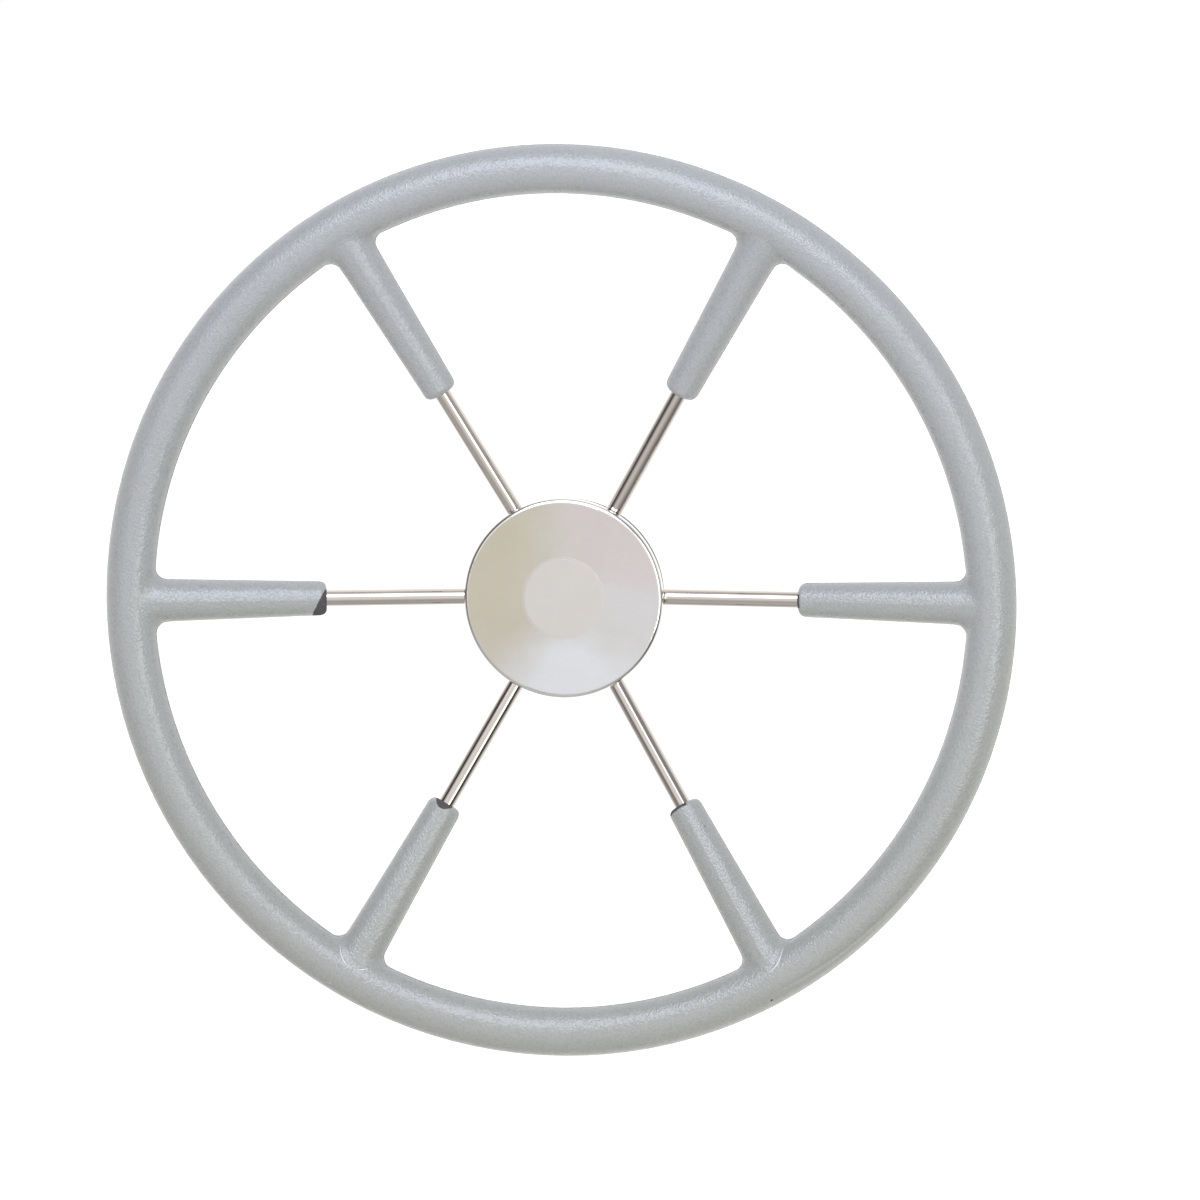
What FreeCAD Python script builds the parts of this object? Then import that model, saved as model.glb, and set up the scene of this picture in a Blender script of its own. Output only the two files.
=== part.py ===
import FreeCAD, Part
import math
import os

import Sketcher
from FreeCAD import Placement, Rotation, Vector

# Boat steering wheel, 450 mm, six dished stainless spokes.
# The shaft axis is Y. The helmsman's side faces -Y, and +Z is up.
# The origin is the middle of the mouth of the tapered bore, in the hub's rear face.

HEX_SIDES = 6

doc = FreeCAD.newDocument("BoatSteeringWheel")
sheet = doc.addObject("Spreadsheet::Sheet", "Sizes")

DRIVING_SIZES = (
    ("rim_diameter", 450.0, "outside of the moulded rim"),
    ("grip_thickness", 23.8, "round section of the moulded rim"),
    ("core_diameter", 10.0, "steel bar ring inside the rim"),
    ("bond_line", 0.1, "bond between the moulding and the steel in it, all round"),
    ("spoke_count", 6, "spokes, evenly spaced, the first one level to the right"),
    ("spoke_diameter", 8.0, "polished round bar"),
    ("spoke_dish", 9.0, "degrees by which a spoke falls back from the rim to the hub"),
    ("spoke_start", 27.0, "spoke's inner end from the shaft axis"),
    ("sleeve_start", 117.5, "moulded sleeve's inner end from the shaft axis"),
    ("sleeve_end_diameter", 16.5, "moulded sleeve at its inner end"),
    ("sleeve_root_step", 1.8, "rim thicker than a sleeve carried on to the rim's section centre"),
    ("sleeve_end_round", 3.0, "rounding of the sleeve's inner end"),
    ("sleeve_mouth_step", 0.6, "bare foam that stands back round the spoke at the sleeve's end"),
    ("sleeve_mouth_width", 0.9, "width of that ring of foam"),
    ("root_fillet", 5.5, "blend of sleeve and rim"),
    ("flange_thickness", 19.0, "hub flange along the shaft"),
    ("flange_chamfer_room", 0.2, "front edge of the flange, cut back beyond the cap's inside bend"),
    ("flange_back_round", 2.0, "rear edge of the flange"),
    ("boss_diameter", 50.0, "hub boss behind the flange"),
    ("boss_flare", 6.0, "fillet between boss and flange"),
    ("boss_chamfer", 1.5, "rear edge of the boss"),
    ("taper_mouth", 19.05, "tapered bore at the hub's rear face"),
    ("taper_ratio", 12.0, "length of taper for each 1 of diameter"),
    ("taper_length", 25.0, "tapered bore along the shaft"),
    ("thread_hole", 14.0, "clear hole for the shaft's threaded end"),
    ("nut_web", 5.0, "metal between the taper's small end and the nut's seat"),
    ("nut_recess", 38.0, "recess for the nut and its spanner socket"),
    ("nut_room", 16.7, "depth of the nut recess"),
    ("recess_chamfer", 1.0, "lead-in at the mouth of the nut recess"),
    ("key_width", 4.76, "keyway"),
    ("key_depth", 2.4, "keyway beyond the mouth of the taper"),
    ("socket_clearance", 0.1, "spoke in its socket, on the diameter"),
    ("socket_end_gap", 0.3, "spoke's inner end from the bottom of its socket"),
    ("screw_diameter", 5.0, "grub screw that pins each spoke"),
    ("screw_length", 5.0, "grub screw"),
    ("screw_radius", 38.0, "grub screws from the shaft axis"),
    ("screw_clearance", 0.1, "grub screw in its hole, on the diameter"),
    ("screw_tip_gap", 0.3, "grub screw's point from the spoke's crest"),
    ("screw_point", 1.4, "bevel of the grub screw's point"),
    ("hex_across", 2.5, "key size of the grub screw"),
    ("hex_depth", 2.2, "key socket of the grub screw"),
    ("cap_diameter", 99.0, "pressed cap over the hub"),
    ("cap_sheet", 1.2, "sheet of the cap"),
    ("cap_depth", 4.6, "cap from its face to the edge of its skirt"),
    ("cap_bend", 2.3, "outside bend of the cap"),
    ("cap_seat_gap", 0.3, "cap's sheet from the flange's front"),
    ("cap_skirt_gap", 0.3, "cap's skirt from the flange, on the radius"),
    ("cap_spoke_gap", 0.45, "cap's skirt from the spokes' front"),
    ("panel_rise", 0.2, "round panel pressed forward in the middle of the cap"),
    ("panel_edge", 0.9, "width of the slope round that panel"),
    ("panel_land", 0.95, "flat of the panel beyond the spigot seated behind it"),
    ("spigot_clearance", 0.6, "cap's spigot in the nut recess, on the radius"),
    ("spigot_wall", 3.4, "spigot's ring"),
    ("spigot_length", 7.0, "spigot's free end from the inside of the cap's face"),
    ("spigot_chamfer", 0.6, "spigot's leading edge"),
    ("seal_section", 2.0, "rubber ring on the spigot"),
    ("seal_stand", 0.3, "rubber ring's reach beyond the spigot"),
    ("seal_setback", 2.6, "middle of the rubber ring from the spigot's free end"),
    ("seal_room", 0.2, "groove's width beyond the rubber ring's section"),
)

for row, (alias, size, note) in enumerate(DRIVING_SIZES, start=1):
    sheet.set(f"A{row}", alias)
    sheet.set(f"B{row}", str(size))
    sheet.set(f"C{row}", note)
    sheet.setAlias(f"B{row}", alias)
doc.recompute()


def value(expression):
    """Number that an expression on the sheet gives."""
    result = sheet.evalExpression(expression)
    return float(getattr(result, "Value", result))


# Places that several pieces share, as expressions on the sheet.
# Along Y, the hub's rear face is 0 and the helmsman's side is negative.
RIM_RADIUS = "((Sizes.rim_diameter - Sizes.grip_thickness) / 2)"
TAPER_SMALL = "(Sizes.taper_mouth - Sizes.taper_length / Sizes.taper_ratio)"
TAPER_END = "(-Sizes.taper_length)"
NUT_SEAT = f"({TAPER_END} - Sizes.nut_web)"
RECESS_RADIUS = "(Sizes.nut_recess / 2)"
FLANGE_FRONT = f"({NUT_SEAT} - Sizes.nut_room)"
FLANGE_BACK = f"({FLANGE_FRONT} + Sizes.flange_thickness)"
CAP_RADIUS = "(Sizes.cap_diameter / 2)"
FLANGE_RADIUS = f"({CAP_RADIUS} - Sizes.cap_sheet - Sizes.cap_skirt_gap)"
CAP_INSIDE = f"({FLANGE_FRONT} - Sizes.cap_seat_gap)"
CAP_FACE = f"({CAP_INSIDE} - Sizes.cap_sheet)"
SKIRT_EDGE = f"({CAP_FACE} + Sizes.cap_depth)"

# Half of a spoke's thickness along the shaft, which its slope makes a little more than its radius.
HALF_SPOKE = "(Sizes.spoke_diameter / 2 / cos(Sizes.spoke_dish))"
SPOKE_Y_AT_CAP = f"({SKIRT_EDGE} + Sizes.cap_spoke_gap + {HALF_SPOKE})"
RIM_PLANE = f"({SPOKE_Y_AT_CAP} - ({RIM_RADIUS} - {CAP_RADIUS}) * tan(Sizes.spoke_dish))"


def spoke_y(radius):
    """Where a spoke's centre line is along Y, at a distance from the shaft axis."""
    return f"({RIM_PLANE} + ({RIM_RADIUS} - {radius}) * tan(Sizes.spoke_dish))"


SCREW_POINT = f"({spoke_y('Sizes.screw_radius')} + {HALF_SPOKE} + Sizes.screw_tip_gap)"
SPIGOT_RADIUS = f"({RECESS_RADIUS} - Sizes.spigot_clearance)"
PANEL_FLAT = f"({SPIGOT_RADIUS} + Sizes.panel_land)"
PANEL_RADIUS = f"({PANEL_FLAT} + Sizes.panel_edge)"
PANEL_INSIDE = f"({CAP_INSIDE} - Sizes.panel_rise)"
SPIGOT_END = f"({CAP_INSIDE} + Sizes.spigot_length)"
SEAL_MIDDLE = f"({SPIGOT_END} - Sizes.seal_setback)"
SEAL_RADIUS = f"({SPIGOT_RADIUS} + Sizes.seal_stand - Sizes.seal_section / 2)"


def on_spoke(inward, sideways):
    """Point in the first spoke's plane, as a pair of expressions.

    inward runs along the spoke's centre line from the rim's section centre towards the hub,
    and sideways is square to it, towards the front.
    """
    across = f"{RIM_RADIUS} - {inward} * cos(Sizes.spoke_dish) - {sideways} * sin(Sizes.spoke_dish)"
    along = f"{RIM_PLANE} + {inward} * sin(Sizes.spoke_dish) - {sideways} * cos(Sizes.spoke_dish)"
    return across, along


def spoke_run(radius):
    """Length of a spoke's centre line from the rim's section centre in to a radius."""
    return f"(({RIM_RADIUS} - {radius}) / cos(Sizes.spoke_dish))"


def new_body(name):
    """Empty body whose label names its file."""
    body = doc.addObject("PartDesign::Body", name)
    body.Label = name
    return body


def new_sketch(body, name, plane_role="XY_Plane"):
    """Sketch on one of the body's own origin planes.

    On the XY plane a sketch holds radius against the shaft's length, and on the YZ plane
    the shaft's length against radius.
    """
    planes = [feature for feature in body.Origin.OriginFeatures if feature.Role == plane_role]
    sketch = body.newObject("Sketcher::SketchObject", name)
    sketch.AttachmentSupport = [(planes[0], "")]
    sketch.MapMode = "FlatFace"
    return sketch


def pin(sketch, geometry, end, place):
    """Tie a point of a sketch to a pair of expressions."""
    for kind, expression in zip(("DistanceX", "DistanceY"), place):
        index = sketch.addConstraint(
            Sketcher.Constraint(kind, -1, 1, geometry, end, value(expression)))
        sketch.setExpression(f"Constraints[{index}]", expression)


def draw_outline(sketch, corners):
    """Closed outline with straight sides through corners, each a pair of expressions."""
    points = [Vector(value(across), value(along), 0) for across, along in corners]
    following = points[1:] + points[:1]
    sides = [sketch.addGeometry(Part.LineSegment(start, end), False)
             for start, end in zip(points, following)]
    for side, next_side in zip(sides, sides[1:] + sides[:1]):
        sketch.addConstraint(Sketcher.Constraint("Coincident", side, 2, next_side, 1))
    for side, corner in zip(sides, corners):
        pin(sketch, side, 1, corner)


def draw_circle(sketch, middle, radius):
    """Circle whose middle is a pair of expressions and whose radius is one."""
    centre = Vector(value(middle[0]), value(middle[1]), 0)
    circle = sketch.addGeometry(Part.Circle(centre, Vector(0, 0, 1), value(radius)), False)
    pin(sketch, circle, 3, middle)
    index = sketch.addConstraint(Sketcher.Constraint("Radius", circle, value(radius)))
    sketch.setExpression(f"Constraints[{index}]", radius)


def draw_turning_line(sketch, ends):
    """Construction line to turn a profile about, between two places that are pairs of expressions."""
    points = [Vector(value(across), value(along), 0) for across, along in ends]
    line = sketch.addGeometry(Part.LineSegment(*points), True)
    for end, place in enumerate(ends, start=1):
        pin(sketch, line, end, place)


def draw_spoke_line(sketch):
    """Turning line on the first spoke's centre line."""
    draw_turning_line(sketch, [on_spoke("0", "0"), on_spoke(spoke_run("0"), "0")])


def draw_screw_line(sketch):
    """Turning line on the first grub screw's axis."""
    draw_turning_line(sketch, [("Sizes.screw_radius", FLANGE_FRONT), ("Sizes.screw_radius", FLANGE_BACK)])


def turn(body, kind, name, sketch, axis="V_Axis"):
    """Revolution or groove of a sketch, a full turn about the shaft or its own line."""
    feature = body.newObject(f"PartDesign::{kind}", name)
    feature.Profile = sketch
    feature.ReferenceAxis = (sketch, [axis])
    feature.Angle = 360
    return feature


def round_the_shaft(body, name, feature, sketch):
    """Repeat a feature once for each spoke, about the shaft axis."""
    pattern = body.newObject("PartDesign::PolarPattern", name)
    pattern.Originals = [feature]
    pattern.Axis = (sketch, ["V_Axis"])
    pattern.Angle = 360
    pattern.setExpression("Occurrences", "Sizes.spoke_count")
    body.Tip = pattern
    return pattern


def edges_where(shape, test):
    """Names of the edges that a test picks."""
    return [f"Edge{number}" for number, edge in enumerate(shape.Edges, start=1) if test(edge)]


def ring_edges(shape, radius, y):
    """Names of the circles round the shaft axis that have a radius and a place along it."""
    def on_ring(edge):
        curve = edge.Curve
        return (isinstance(curve, Part.Circle)
                and math.isclose(curve.Radius, radius, abs_tol=1e-4)
                and math.isclose(curve.Center.y, y, abs_tol=1e-4)
                and math.hypot(curve.Center.x, curve.Center.z) < 1e-4)
    return edges_where(shape, on_ring)


def dress(body, kind, name, base, edges, size_property, size):
    """Fillet or chamfer on named edges of the feature before it."""
    feature = body.newObject(f"PartDesign::{kind}", name)
    feature.Base = (base, edges)
    feature.setExpression(size_property, size)
    doc.recompute()
    return feature


def spoke_angle(number):
    """Expression for the turn about the shaft that brings the first spoke to a numbered one."""
    return f"{number} * 360 / Sizes.spoke_count"


def set_on_shaft(item, y):
    """Lay a primitive whose own axis is Z along the shaft axis, with its origin at y."""
    item.Placement = Placement(Vector(0, 0, 0), Rotation(Vector(1, 0, 0), -90))
    item.setExpression("Placement.Base.y", y)


def turn_about_shaft(item, angle):
    """Turn a finished piece about the shaft axis."""
    item.Placement = Placement(Vector(0, 0, 0), Rotation(Vector(0, 1, 0), value(angle)))
    item.setExpression("Placement.Rotation.Angle", angle)


def make_rim_grip():
    """One-piece moulded grip: round rim and six tapered sleeves that blend into it.

    The steel ring and the spokes' outer ends lie moulded in, so the grip has a channel
    and six bores for them. The outer ring's seam lies at the bottom, between two sleeves.
    """
    body = new_body("rim_grip")

    section = new_sketch(body, "GripSection", "YZ_Plane")
    draw_circle(section, (RIM_PLANE, f"-{RIM_RADIUS}"), "Sizes.grip_thickness / 2")
    turn(body, "Revolution", "GripRing", section, "H_Axis")

    sleeve_run = spoke_run("Sizes.sleeve_start")
    sleeve = new_sketch(body, "SleeveProfile")
    draw_spoke_line(sleeve)
    draw_outline(sleeve, [
        on_spoke("0", "0"),
        on_spoke("0", "(Sizes.grip_thickness - Sizes.sleeve_root_step) / 2"),
        on_spoke(sleeve_run, "Sizes.sleeve_end_diameter / 2"),
        on_spoke(sleeve_run, "0"),
    ])
    one_sleeve = turn(body, "Revolution", "Sleeve", sleeve, "Axis0")
    sleeves = round_the_shaft(body, "Sleeves", one_sleeve, sleeve)
    doc.recompute()

    ends = dress(body, "Fillet", "SleeveEnds", sleeves,
                 sleeve_end_edges(sleeves.Shape), "Radius", "Sizes.sleeve_end_round")
    dress(body, "Fillet", "SleeveRoots", ends,
          sleeve_root_edges(ends.Shape), "Radius", "Sizes.root_fillet")

    channel = new_sketch(body, "CoreChannel")
    draw_circle(channel, (RIM_RADIUS, RIM_PLANE), "Sizes.core_diameter / 2 + Sizes.bond_line")
    turn(body, "Groove", "Channel", channel)

    bore_radius = "Sizes.spoke_diameter / 2 + Sizes.bond_line"
    step_radius = f"{bore_radius} + Sizes.sleeve_mouth_width"
    step_run = f"({sleeve_run} - Sizes.sleeve_mouth_step)"
    past_end = f"({sleeve_run} + Sizes.sleeve_end_round)"
    bore = new_sketch(body, "SpokeBore")
    draw_spoke_line(bore)
    draw_outline(bore, [
        on_spoke("0", "0"),
        on_spoke("0", f"({bore_radius})"),
        on_spoke(step_run, f"({bore_radius})"),
        on_spoke(step_run, f"({step_radius})"),
        on_spoke(past_end, f"({step_radius})"),
        on_spoke(past_end, "0"),
    ])
    one_bore = turn(body, "Groove", "Bore", bore, "Axis0")
    round_the_shaft(body, "Bores", one_bore, bore)
    return body


def sleeve_end_edges(shape):
    """Circles at the sleeves' inner ends."""
    end_radius = value("Sizes.sleeve_end_diameter / 2")

    def at_end(edge):
        return isinstance(edge.Curve, Part.Circle) and math.isclose(
            edge.Curve.Radius, end_radius, abs_tol=1e-4)
    return edges_where(shape, at_end)


def sleeve_root_edges(shape):
    """Edges where a sleeve's cone runs into the round rim."""
    owners = {}
    for face in shape.Faces:
        for edge in face.Edges:
            owners.setdefault(edge.hashCode(), set()).add(type(face.Surface))

    def at_root(edge):
        return owners[edge.hashCode()] >= {Part.Toroid, Part.Cone}
    return edges_where(shape, at_root)


def make_rim_core():
    """Round steel bar rolled to a ring, moulded into the grip."""
    core = doc.addObject("Part::Torus", "rim_core")
    core.Label = "rim_core"
    core.setExpression("Radius1", RIM_RADIUS)
    core.setExpression("Radius2", "Sizes.core_diameter / 2")
    set_on_shaft(core, RIM_PLANE)
    return core


def make_spoke(number):
    """Straight polished bar from its hub socket to the steel ring, coped to the ring."""
    name = f"spoke_{number + 1}"
    bar = doc.addObject("Part::Cylinder", f"Bar{number + 1}")
    bar.setExpression("Radius", "Sizes.spoke_diameter / 2")
    bar.setExpression("Height", spoke_run("Sizes.spoke_start"))
    bar.Placement = Placement(Vector(0, 0, 0), Rotation(Vector(0, 0, 1), -value("Sizes.spoke_dish"))
                              * Rotation(Vector(0, 1, 0), 90))
    bar.setExpression("Placement.Base.x", "Sizes.spoke_start")
    bar.setExpression("Placement.Base.y", spoke_y("Sizes.spoke_start"))

    ring = doc.addObject("Part::Torus", f"Coping{number + 1}")
    ring.setExpression("Radius1", RIM_RADIUS)
    ring.setExpression("Radius2", "Sizes.core_diameter / 2")
    set_on_shaft(ring, RIM_PLANE)

    spoke = doc.addObject("Part::Cut", name)
    spoke.Label = name
    spoke.Base = bar
    spoke.Tool = ring
    turn_about_shaft(spoke, spoke_angle(number))
    return spoke


def make_hub():
    """Turned hub: flange with the spokes' sockets, boss with the shaft's tapered bore."""
    body = new_body("hub")
    boss_radius = "Sizes.boss_diameter / 2"
    thread_radius = "Sizes.thread_hole / 2"

    profile = new_sketch(body, "HubProfile")
    draw_outline(profile, [
        ("Sizes.taper_mouth / 2", "0"),
        (boss_radius, "0"),
        (boss_radius, FLANGE_BACK),
        (FLANGE_RADIUS, FLANGE_BACK),
        (FLANGE_RADIUS, FLANGE_FRONT),
        (RECESS_RADIUS, FLANGE_FRONT),
        (RECESS_RADIUS, NUT_SEAT),
        (thread_radius, NUT_SEAT),
        (thread_radius, TAPER_END),
        (f"{TAPER_SMALL} / 2", TAPER_END),
    ])
    turned = turn(body, "Revolution", "Turned", profile)
    doc.recompute()

    flare = dress(body, "Fillet", "BossFlare", turned,
                  ring_edges(turned.Shape, value(boss_radius), value(FLANGE_BACK)),
                  "Radius", "Sizes.boss_flare")
    back = dress(body, "Fillet", "FlangeBack", flare,
                 ring_edges(flare.Shape, value(FLANGE_RADIUS), value(FLANGE_BACK)),
                 "Radius", "Sizes.flange_back_round")
    front = dress(body, "Chamfer", "FlangeFront", back,
                  ring_edges(back.Shape, value(FLANGE_RADIUS), value(FLANGE_FRONT)),
                  "Size", "Sizes.cap_bend - Sizes.cap_sheet + Sizes.flange_chamfer_room")
    lead_in = dress(body, "Chamfer", "RecessLeadIn", front,
                    ring_edges(front.Shape, value(RECESS_RADIUS), value(FLANGE_FRONT)),
                    "Size", "Sizes.recess_chamfer")
    dress(body, "Chamfer", "BossRear", lead_in,
          ring_edges(lead_in.Shape, value(boss_radius), 0.0), "Size", "Sizes.boss_chamfer")

    socket_radius = "(Sizes.spoke_diameter + Sizes.socket_clearance) / 2"
    socket_end = spoke_run("(Sizes.spoke_start - Sizes.socket_end_gap)")
    outside = spoke_run("Sizes.cap_diameter")
    socket = new_sketch(body, "SocketProfile")
    draw_spoke_line(socket)
    draw_outline(socket, [
        on_spoke(outside, "0"),
        on_spoke(outside, f"({socket_radius})"),
        on_spoke(socket_end, f"({socket_radius})"),
        on_spoke(socket_end, "0"),
    ])
    one_socket = turn(body, "Groove", "Socket", socket, "Axis0")
    round_the_shaft(body, "Sockets", one_socket, socket)
    doc.recompute()

    hole_radius = "(Sizes.screw_diameter + Sizes.screw_clearance) / 2"
    hole_end = f"{FLANGE_BACK} + Sizes.flange_back_round"
    screw_hole = new_sketch(body, "ScrewHole")
    draw_screw_line(screw_hole)
    draw_outline(screw_hole, [
        ("Sizes.screw_radius", spoke_y("Sizes.screw_radius")),
        (f"Sizes.screw_radius + {hole_radius}", spoke_y("Sizes.screw_radius")),
        (f"Sizes.screw_radius + {hole_radius}", hole_end),
        ("Sizes.screw_radius", hole_end),
    ])
    one_hole = turn(body, "Groove", "ScrewSeat", screw_hole, "Axis0")
    round_the_shaft(body, "ScrewSeats", one_hole, screw_hole)
    doc.recompute()

    keyway = new_sketch(body, "KeywaySection", "XZ_Plane")
    half_key = "Sizes.key_width / 2"
    key_top = "Sizes.taper_mouth / 2 + Sizes.key_depth"
    draw_outline(keyway, [
        (f"-({half_key})", "0"),
        (half_key, "0"),
        (half_key, key_top),
        (f"-({half_key})", key_top),
    ])
    key_cut = body.newObject("PartDesign::Pocket", "Keyway")
    key_cut.Profile = keyway
    key_cut.setExpression("Length", "Sizes.taper_length")
    key_cut.Reversed = True
    return body


def make_grub_screws():
    """Six socket-head grub screws in the rear of the flange, one on each spoke."""
    body = new_body("spoke_grub_screws")
    body.AllowCompound = True
    shank_radius = "Sizes.screw_diameter / 2"
    key_corner = "Sizes.hex_across / sqrt(3)"
    head = f"{SCREW_POINT} + Sizes.screw_length"
    shank = new_sketch(body, "ScrewProfile")
    draw_screw_line(shank)
    draw_outline(shank, [
        ("Sizes.screw_radius", SCREW_POINT),
        (f"Sizes.screw_radius + {shank_radius} - Sizes.screw_point", SCREW_POINT),
        (f"Sizes.screw_radius + {shank_radius}", f"{SCREW_POINT} + Sizes.screw_point"),
        (f"Sizes.screw_radius + {shank_radius}", head),
        ("Sizes.screw_radius", head),
    ])
    one_screw = turn(body, "Revolution", "Screw", shank, "Axis0")

    key = new_sketch(body, "HexKey", "XZ_Plane")
    turns = [f"({side} * 360 / {HEX_SIDES})" for side in range(HEX_SIDES)]
    draw_outline(key, [
        (f"Sizes.screw_radius + {key_corner} * cos({turned})", f"{key_corner} * sin({turned})")
        for turned in turns
    ])
    key.setExpression("AttachmentOffset.Base.z", f"-({head})")
    socket = body.newObject("PartDesign::Pocket", "HexSocket")
    socket.Profile = key
    socket.setExpression("Length", "Sizes.hex_depth")
    socket.Reversed = True
    screws = round_the_shaft(body, "Screws", one_screw, shank)
    screws.Originals = [one_screw, socket]
    return body


def make_hub_cap():
    """Cap pressed from stainless sheet: flat face, bent edge, short skirt, raised round panel."""
    body = new_body("hub_cap")
    blank = new_sketch(body, "CapBlank")
    draw_outline(blank, [
        ("0", CAP_FACE),
        (CAP_RADIUS, CAP_FACE),
        (CAP_RADIUS, SKIRT_EDGE),
        ("0", SKIRT_EDGE),
    ])
    solid = turn(body, "Revolution", "CapSolid", blank)
    doc.recompute()
    bend = dress(body, "Fillet", "CapBend", solid,
                 ring_edges(solid.Shape, value(CAP_RADIUS), value(CAP_FACE)),
                 "Radius", "Sizes.cap_bend")

    back_faces = [f"Face{number}" for number, face in enumerate(bend.Shape.Faces, start=1)
                  if math.isclose(face.CenterOfMass.y, value(SKIRT_EDGE), abs_tol=1e-4)]
    sheet_metal = body.newObject("PartDesign::Thickness", "CapSheet")
    sheet_metal.Base = (bend, back_faces)
    sheet_metal.setExpression("Value", "Sizes.cap_sheet")
    sheet_metal.Reversed = True
    sheet_metal.Join = 0
    doc.recompute()

    panel_sides = (("Revolution", "PanelFront", CAP_FACE), ("Groove", "PanelBack", CAP_INSIDE))
    for kind, name, face in panel_sides:
        profile = new_sketch(body, f"{name}Profile")
        draw_outline(profile, [
            ("0", face),
            (PANEL_RADIUS, face),
            (PANEL_FLAT, f"{face} - Sizes.panel_rise"),
            ("0", f"{face} - Sizes.panel_rise"),
        ])
        turn(body, kind, name, profile)
    return body


def make_cap_spigot():
    """Moulded ring behind the cap that pushes into the nut recess, grooved for its seal."""
    body = new_body("cap_spigot")
    inner = f"({SPIGOT_RADIUS} - Sizes.spigot_wall)"
    groove_half = "(Sizes.seal_section + Sizes.seal_room) / 2"
    groove_floor = f"({SEAL_RADIUS} - Sizes.seal_section / 2)"
    profile = new_sketch(body, "SpigotProfile")
    draw_outline(profile, [
        (inner, PANEL_INSIDE),
        (SPIGOT_RADIUS, PANEL_INSIDE),
        (SPIGOT_RADIUS, f"{SEAL_MIDDLE} - {groove_half}"),
        (groove_floor, f"{SEAL_MIDDLE} - {groove_half}"),
        (groove_floor, f"{SEAL_MIDDLE} + {groove_half}"),
        (SPIGOT_RADIUS, f"{SEAL_MIDDLE} + {groove_half}"),
        (SPIGOT_RADIUS, f"{SPIGOT_END} - Sizes.spigot_chamfer"),
        (f"{SPIGOT_RADIUS} - Sizes.spigot_chamfer", SPIGOT_END),
        (inner, SPIGOT_END),
    ])
    turn(body, "Revolution", "Spigot", profile)
    return body


def make_cap_seal():
    """Rubber ring in the spigot's groove, which holds the cap in the recess."""
    seal = doc.addObject("Part::Torus", "cap_seal")
    seal.Label = "cap_seal"
    seal.setExpression("Radius1", SEAL_RADIUS)
    seal.setExpression("Radius2", "Sizes.seal_section / 2")
    set_on_shaft(seal, SEAL_MIDDLE)
    return seal


def check_document(pieces):
    """Stop if any object failed, or if a piece has no sound shape."""
    doc.recompute()
    for item in doc.Objects:
        if "Invalid" in item.State or "Error" in item.State:
            raise RuntimeError(f"{item.Name} is {item.State}")
    for piece in pieces:
        if piece.Shape.isNull() or not piece.Shape.isValid():
            raise RuntimeError(f"{piece.Label} has no valid shape")


def write_pieces(pieces):
    """One STEP file for each piece, named by its label."""
    os.makedirs("parts", exist_ok=True)
    for piece in pieces:
        box = piece.Shape.BoundBox
        print(f"{piece.Label}: {piece.Shape.Volume / 1000:.1f} cm3, {len(piece.Shape.Solids)} solid, "
              f"x {box.XMin:.1f} {box.XMax:.1f}, y {box.YMin:.1f} {box.YMax:.1f}, "
              f"z {box.ZMin:.1f} {box.ZMax:.1f}")
        piece.Shape.exportStep(f"parts/{piece.Label}.step")


spokes = [make_spoke(number) for number in range(int(value("Sizes.spoke_count")))]
all_pieces = [make_rim_grip(), make_rim_core(), *spokes, make_hub(), make_grub_screws(),
              make_hub_cap(), make_cap_spigot(), make_cap_seal()]
check_document(all_pieces)
write_pieces(all_pieces)
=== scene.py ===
"""Boat steering wheel: the finish of every piece, and the studio it is shown in."""
import logging
import math
from collections.abc import Mapping, Sequence
from dataclasses import dataclass
from enum import Enum
from functools import cached_property

import bmesh
import bpy
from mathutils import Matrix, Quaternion, Vector
from mathutils.bvhtree import BVHTree


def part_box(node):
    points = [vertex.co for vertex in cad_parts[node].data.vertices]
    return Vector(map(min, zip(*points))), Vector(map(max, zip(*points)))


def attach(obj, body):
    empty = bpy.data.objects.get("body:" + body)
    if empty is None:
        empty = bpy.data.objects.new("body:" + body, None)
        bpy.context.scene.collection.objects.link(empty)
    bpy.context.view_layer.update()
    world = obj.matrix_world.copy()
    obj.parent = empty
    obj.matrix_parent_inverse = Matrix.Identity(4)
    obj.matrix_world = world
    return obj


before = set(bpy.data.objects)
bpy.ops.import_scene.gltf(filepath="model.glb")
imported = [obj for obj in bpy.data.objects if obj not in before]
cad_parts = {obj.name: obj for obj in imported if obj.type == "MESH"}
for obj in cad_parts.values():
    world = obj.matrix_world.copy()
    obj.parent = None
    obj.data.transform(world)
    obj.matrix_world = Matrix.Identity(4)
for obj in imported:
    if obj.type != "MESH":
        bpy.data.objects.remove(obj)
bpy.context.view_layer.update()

LOG = logging.getLogger("steering_wheel")

MM = 0.001
SPOKES = 6
# Angle between two neighbouring spokes.
TURN = math.tau / SPOKES
# Usual softness of the edge between two finishes.
EDGE = 0.1 * MM
# Stretch of the tool lines' values over which a finish changes.
LINE_SPAN = (0.2, 0.8)

Colour = tuple[float, float, float]
Node = bpy.types.Node
Socket = bpy.types.NodeSocket
Outputs = Mapping[str, Socket]
Term = float | Sequence[float] | Socket


class Slot(Enum):
    """Finishes that the record names."""

    GRIP = "grip_skin"
    CORE = "core_steel"
    SPOKE = "spoke_steel"
    CAP = "cap_steel"
    HUB = "hub_coating"
    FASTENER = "fastener_steel"
    MOULDING = "cap_moulding"
    SEAL = "seal_rubber"


class Ends(Enum):
    """What becomes of the two ends of a bead's run."""

    JOINED = "joined to each other"
    PLAIN = "left plain"
    THINNED = "thinned out"


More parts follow.
